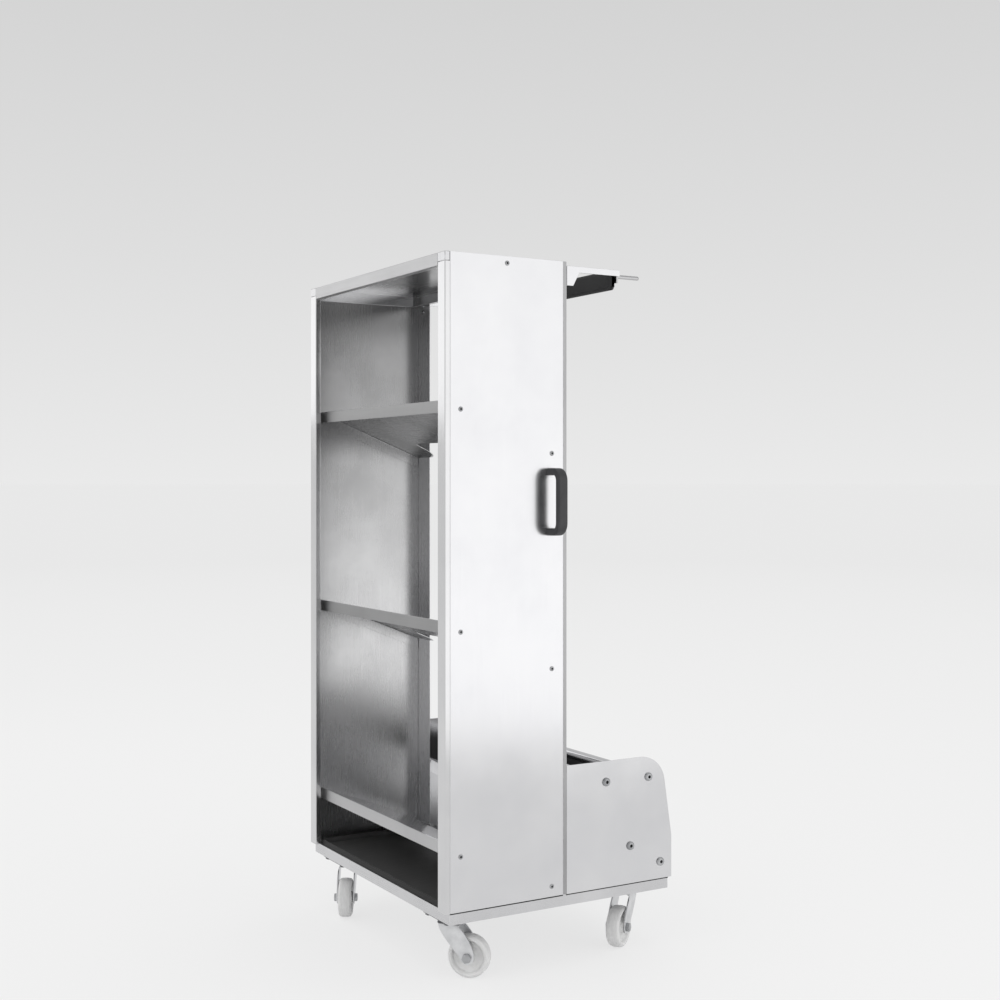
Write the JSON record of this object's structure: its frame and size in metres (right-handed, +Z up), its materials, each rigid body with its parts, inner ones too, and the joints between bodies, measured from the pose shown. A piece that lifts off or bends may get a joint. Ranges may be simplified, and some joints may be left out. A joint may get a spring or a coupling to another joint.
{
  "type": "ski and boot trolley",
  "caption": "Open-fronted stainless cabinet on swivel castors with sloping boot shelves, a drip tray, side handles and a rear stand and rack that hold skis upright.",
  "frame": {"origin": "on the floor under the middle of the trolley's bounding box", "axes": "+Z up; +Y from the open front towards the ski stand; +X to the right seen from the front"},
  "size_m": [0.7166, 0.521, 1.37],
  "materials": {
    "polished_steel": "polished stainless sheet",
    "brushed_steel": "fine brushed stainless sheet",
    "zinc_steel": "bright zinc plate",
    "black_plastic": "fine grained",
    "black_rubber": "matt",
    "black_coating": "satin powder coat",
    "white_polyamide": "slightly translucent"
  },
  "bodies": {
    "trolley": {"base_pan": "brushed_steel", "front_castor_channel": "brushed_steel", "rear_castor_channel": "brushed_steel", "front_top_rail": "brushed_steel", "rear_top_rail": "brushed_steel", "rack_comb": "brushed_steel", "top_panel": "polished_steel", "upper_boot_shelf": "polished_steel", "middle_boot_shelf": "polished_steel", "lower_boot_shelf": "polished_steel", "front_ski_bar": "polished_steel", "rear_ski_bar": "polished_steel", "ski_trough": "polished_steel", "ski_floor_mat": "black_rubber", "rack_pad": "black_rubber", "right_front_post": "brushed_steel", "right_rear_post": "brushed_steel", "right_corner_block": "brushed_steel", "right_cheek_angle": "brushed_steel", "right_side_wall": "polished_steel", "right_side_cladding": "polished_steel", "right_ski_cheek": "polished_steel", "right_rack_arm": "polished_steel", "right_handle": "black_plastic", "right_front_bar_bolt": "zinc_steel", "right_rear_bar_bolt": "zinc_steel", "right_floor_front_bolt": "zinc_steel", "right_floor_rear_bolt": "zinc_steel", "left_front_post": "brushed_steel", "left_rear_post": "brushed_steel", "left_corner_block": "brushed_steel", "left_cheek_angle": "brushed_steel", "left_side_wall": "polished_steel", "left_side_cladding": "polished_steel", "left_ski_cheek": "polished_steel", "left_rack_arm": "polished_steel", "left_handle": "black_plastic", "left_front_bar_bolt": "zinc_steel", "left_rear_bar_bolt": "zinc_steel", "left_floor_front_bolt": "zinc_steel", "left_floor_rear_bolt": "zinc_steel", "front_right_top_plate": "zinc_steel", "front_left_top_plate": "zinc_steel", "rear_right_top_plate": "zinc_steel", "rear_left_top_plate": "zinc_steel"},
    "drip_tray": {"drip_tray": "black_coating"},
    "front_right_swivel": {"front_right_fork": "zinc_steel", "front_right_axle": "zinc_steel"},
    "front_right_roller": {"front_right_wheel": "white_polyamide"},
    "front_left_swivel": {"front_left_fork": "zinc_steel", "front_left_axle": "zinc_steel"},
    "front_left_roller": {"front_left_wheel": "white_polyamide"},
    "rear_right_swivel": {"rear_right_fork": "zinc_steel", "rear_right_axle": "zinc_steel"},
    "rear_right_roller": {"rear_right_wheel": "white_polyamide"},
    "rear_left_swivel": {"rear_left_fork": "zinc_steel", "rear_left_axle": "zinc_steel"},
    "rear_left_roller": {"rear_left_wheel": "white_polyamide"}
  },
  "joints": [
    {"name": "drip_tray_slide", "type": "slide", "parent": "trolley", "child": "drip_tray", "axis": [0, -1, 0], "range_m": [0, 0.2]},
    {"name": "front_right_swivel", "type": "hinge", "parent": "trolley", "child": "front_right_swivel", "pos_m": [0.238, -0.2055, 0.1], "axis": [0, 0, 1], "continuous": true},
    {"name": "front_right_wheel_spin", "type": "hinge", "parent": "front_right_swivel", "child": "front_right_roller", "pos_m": [0.26471, -0.1799, 0.041], "axis": [-0.6919, 0.722, 0], "continuous": true},
    {"name": "front_left_swivel", "type": "hinge", "parent": "trolley", "child": "front_left_swivel", "pos_m": [-0.238, -0.2055, 0.1], "axis": [0, 0, 1], "continuous": true},
    {"name": "front_left_wheel_spin", "type": "hinge", "parent": "front_left_swivel", "child": "front_left_roller", "pos_m": [-0.20601, -0.2241, 0.041], "axis": [0.5026, 0.8645, 0], "continuous": true},
    {"name": "rear_right_swivel", "type": "hinge", "parent": "trolley", "child": "rear_right_swivel", "pos_m": [0.238, 0.1995, 0.1], "axis": [0, 0, 1], "continuous": true},
    {"name": "rear_right_wheel_spin", "type": "hinge", "parent": "rear_right_swivel", "child": "rear_right_roller", "pos_m": [0.25912, 0.16912, 0.041], "axis": [0.8211, 0.5708, 0], "continuous": true},
    {"name": "rear_left_swivel", "type": "hinge", "parent": "trolley", "child": "rear_left_swivel", "pos_m": [-0.238, 0.1995, 0.1], "axis": [0, 0, 1], "continuous": true},
    {"name": "rear_left_wheel_spin", "type": "hinge", "parent": "rear_left_swivel", "child": "rear_left_roller", "pos_m": [-0.2602, 0.1699, 0.041], "axis": [0.8, -0.6, 0], "continuous": true}
  ]
}
